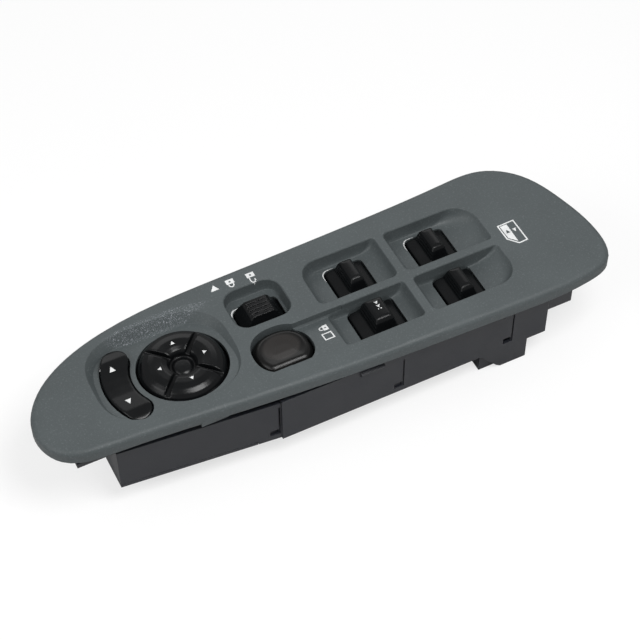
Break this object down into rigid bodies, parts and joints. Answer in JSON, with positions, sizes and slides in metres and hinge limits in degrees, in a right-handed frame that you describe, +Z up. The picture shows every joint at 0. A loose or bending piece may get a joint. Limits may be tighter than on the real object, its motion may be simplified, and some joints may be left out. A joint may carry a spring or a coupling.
{
  "type": "power window switch panel",
  "caption": "Driver's door switch panel with rocking window keys, a door lock rocker, a window lock button, a mirror pad and its left and right selector, over a housing with plug sockets.",
  "frame": {"origin": "middle of the footprint, on the surface that the connector shrouds stand on", "axes": "+X along the panel towards its wide rear end, +Y across it away from the seat, +Z up out of the top plate"},
  "size_m": [0.304, 0.0906, 0.0568],
  "materials": {
    "slate_trim": "fine grain",
    "black_key": "satin gloss",
    "lock_key": "satin",
    "black_housing": "moulded satin",
    "board_green": "solder resist",
    "slider_white": "moulded",
    "silicone_grey": "soft matte",
    "contact_tin": "tin plated",
    "screw_steel": "zinc plated"
  },
  "bodies": {
    "panel": {"bezel": "slate_trim", "switch_housing": "black_housing", "base_cover": "black_housing", "circuit_board": "board_green", "mirror_board": "board_green", "mirror_dome_mat": "silicone_grey", "lock_switch": "black_housing", "lock_button_spring": "screw_steel", "main_connector": "black_housing", "mirror_connector": "black_housing", "far_front_screw": "screw_steel", "far_rear_screw": "screw_steel", "front_screw": "screw_steel", "rear_screw": "screw_steel", "main_connector_pin_1": "contact_tin", "main_connector_pin_10": "contact_tin", "main_connector_pin_11": "contact_tin", "main_connector_pin_12": "contact_tin", "main_connector_pin_2": "contact_tin", "main_connector_pin_3": "contact_tin", "main_connector_pin_4": "contact_tin", "main_connector_pin_5": "contact_tin", "main_connector_pin_6": "contact_tin", "main_connector_pin_7": "contact_tin", "main_connector_pin_8": "contact_tin", "main_connector_pin_9": "contact_tin", "mirror_connector_pin_1": "contact_tin", "mirror_connector_pin_2": "contact_tin", "mirror_connector_pin_3": "contact_tin", "mirror_connector_pin_4": "contact_tin", "mirror_connector_pin_5": "contact_tin", "mirror_connector_pin_6": "contact_tin"},
    "driver_window_rocker": {"driver_window_rocker": "black_key"},
    "driver_window_slider": {"driver_window_slider": "slider_white"},
    "passenger_window_rocker": {"passenger_window_rocker": "black_key"},
    "passenger_window_slider": {"passenger_window_slider": "slider_white"},
    "rear_left_window_rocker": {"rear_left_window_rocker": "black_key"},
    "rear_left_window_slider": {"rear_left_window_slider": "slider_white"},
    "rear_right_window_rocker": {"rear_right_window_rocker": "black_key"},
    "rear_right_window_slider": {"rear_right_window_slider": "slider_white"},
    "door_lock_rocker": {"door_lock_rocker": "black_key"},
    "door_lock_slider": {"door_lock_slider": "slider_white"},
    "mirror_select_rocker": {"mirror_select_rocker": "black_key"},
    "mirror_select_slider": {"mirror_select_slider": "slider_white"},
    "window_lock_button": {"window_lock_button": "lock_key", "lock_switch_plunger": "slider_white"},
    "mirror_gimbal": {"mirror_gimbal": "slider_white"},
    "mirror_pad": {"mirror_pad": "black_key"}
  },
  "joints": [
    {"name": "driver_window_contact_slide", "type": "slide", "parent": "panel", "child": "driver_window_slider", "axis": [1, 0, 0], "range_m": [-0.00153, 0.00153], "stiffness_N_per_m": 165},
    {"name": "driver_window_tilt", "type": "hinge", "parent": "panel", "child": "driver_window_rocker", "pos_m": [0.0265, -0.0173, 0.045], "axis": [0, 1, 0], "range_deg": [-8, 8]},
    {"name": "passenger_window_contact_slide", "type": "slide", "parent": "panel", "child": "passenger_window_slider", "axis": [1, 0, 0], "range_m": [-0.00153, 0.00153], "stiffness_N_per_m": 165},
    {"name": "passenger_window_tilt", "type": "hinge", "parent": "panel", "child": "passenger_window_rocker", "pos_m": [0.0265, 0.0122, 0.045], "axis": [0, 1, 0], "range_deg": [-8, 8]},
    {"name": "rear_left_window_contact_slide", "type": "slide", "parent": "panel", "child": "rear_left_window_slider", "axis": [1, 0, 0], "range_m": [-0.00153, 0.00153], "stiffness_N_per_m": 165},
    {"name": "rear_left_window_tilt", "type": "hinge", "parent": "panel", "child": "rear_left_window_rocker", "pos_m": [0.073, -0.0173, 0.045], "axis": [0, 1, 0], "range_deg": [-8, 8]},
    {"name": "rear_right_window_contact_slide", "type": "slide", "parent": "panel", "child": "rear_right_window_slider", "axis": [1, 0, 0], "range_m": [-0.00153, 0.00153], "stiffness_N_per_m": 165},
    {"name": "rear_right_window_tilt", "type": "hinge", "parent": "panel", "child": "rear_right_window_rocker", "pos_m": [0.073, 0.0122, 0.045], "axis": [0, 1, 0], "range_deg": [-8, 8]},
    {"name": "door_lock_contact_slide", "type": "slide", "parent": "panel", "child": "door_lock_slider", "axis": [1, 0, 0], "range_m": [-0.00134, 0.00134], "stiffness_N_per_m": 165},
    {"name": "door_lock_tilt", "type": "hinge", "parent": "panel", "child": "door_lock_rocker", "pos_m": [-0.02465, 0.0118, 0.045], "axis": [0, 1, 0], "range_deg": [-7, 7]},
    {"name": "mirror_select_contact_slide", "type": "slide", "parent": "panel", "child": "mirror_select_slider", "axis": [0, 1, 0], "range_m": [-0.00095, 0.00095]},
    {"name": "mirror_select_tilt", "type": "hinge", "parent": "panel", "child": "mirror_select_rocker", "pos_m": [-0.10579, -0.00183, 0.045], "axis": [1, 0, 0], "range_deg": [-5, 5]},
    {"name": "window_lock_press", "type": "slide", "parent": "panel", "child": "window_lock_button", "axis": [0, 0, -1], "range_m": [0, 0.0025], "stiffness_N_per_m": 400, "springref_m": -0.0015, "deforming": ["lock_button_spring"]},
    {"name": "mirror_up_down", "type": "hinge", "parent": "panel", "child": "mirror_gimbal", "pos_m": [-0.0727, -0.0027, 0.0469], "axis": [1, 0, 0], "range_deg": [-4, 4], "stiffness_Nm_per_rad": 0.03},
    {"name": "mirror_left_right", "type": "hinge", "parent": "mirror_gimbal", "child": "mirror_pad", "pos_m": [-0.0727, -0.0027, 0.0469], "axis": [0, 1, 0], "range_deg": [-4, 4], "stiffness_Nm_per_rad": 0.03}
  ],
  "couplings": [
    {"joint": "driver_window_tilt", "follows": "driver_window_contact_slide", "rad_per_m": -90.909},
    {"joint": "passenger_window_tilt", "follows": "passenger_window_contact_slide", "rad_per_m": -90.909},
    {"joint": "rear_left_window_tilt", "follows": "rear_left_window_contact_slide", "rad_per_m": -90.909},
    {"joint": "rear_right_window_tilt", "follows": "rear_right_window_contact_slide", "rad_per_m": -90.909},
    {"joint": "door_lock_tilt", "follows": "door_lock_contact_slide", "rad_per_m": -90.909},
    {"joint": "mirror_select_tilt", "follows": "mirror_select_contact_slide", "rad_per_m": 90.909}
  ]
}
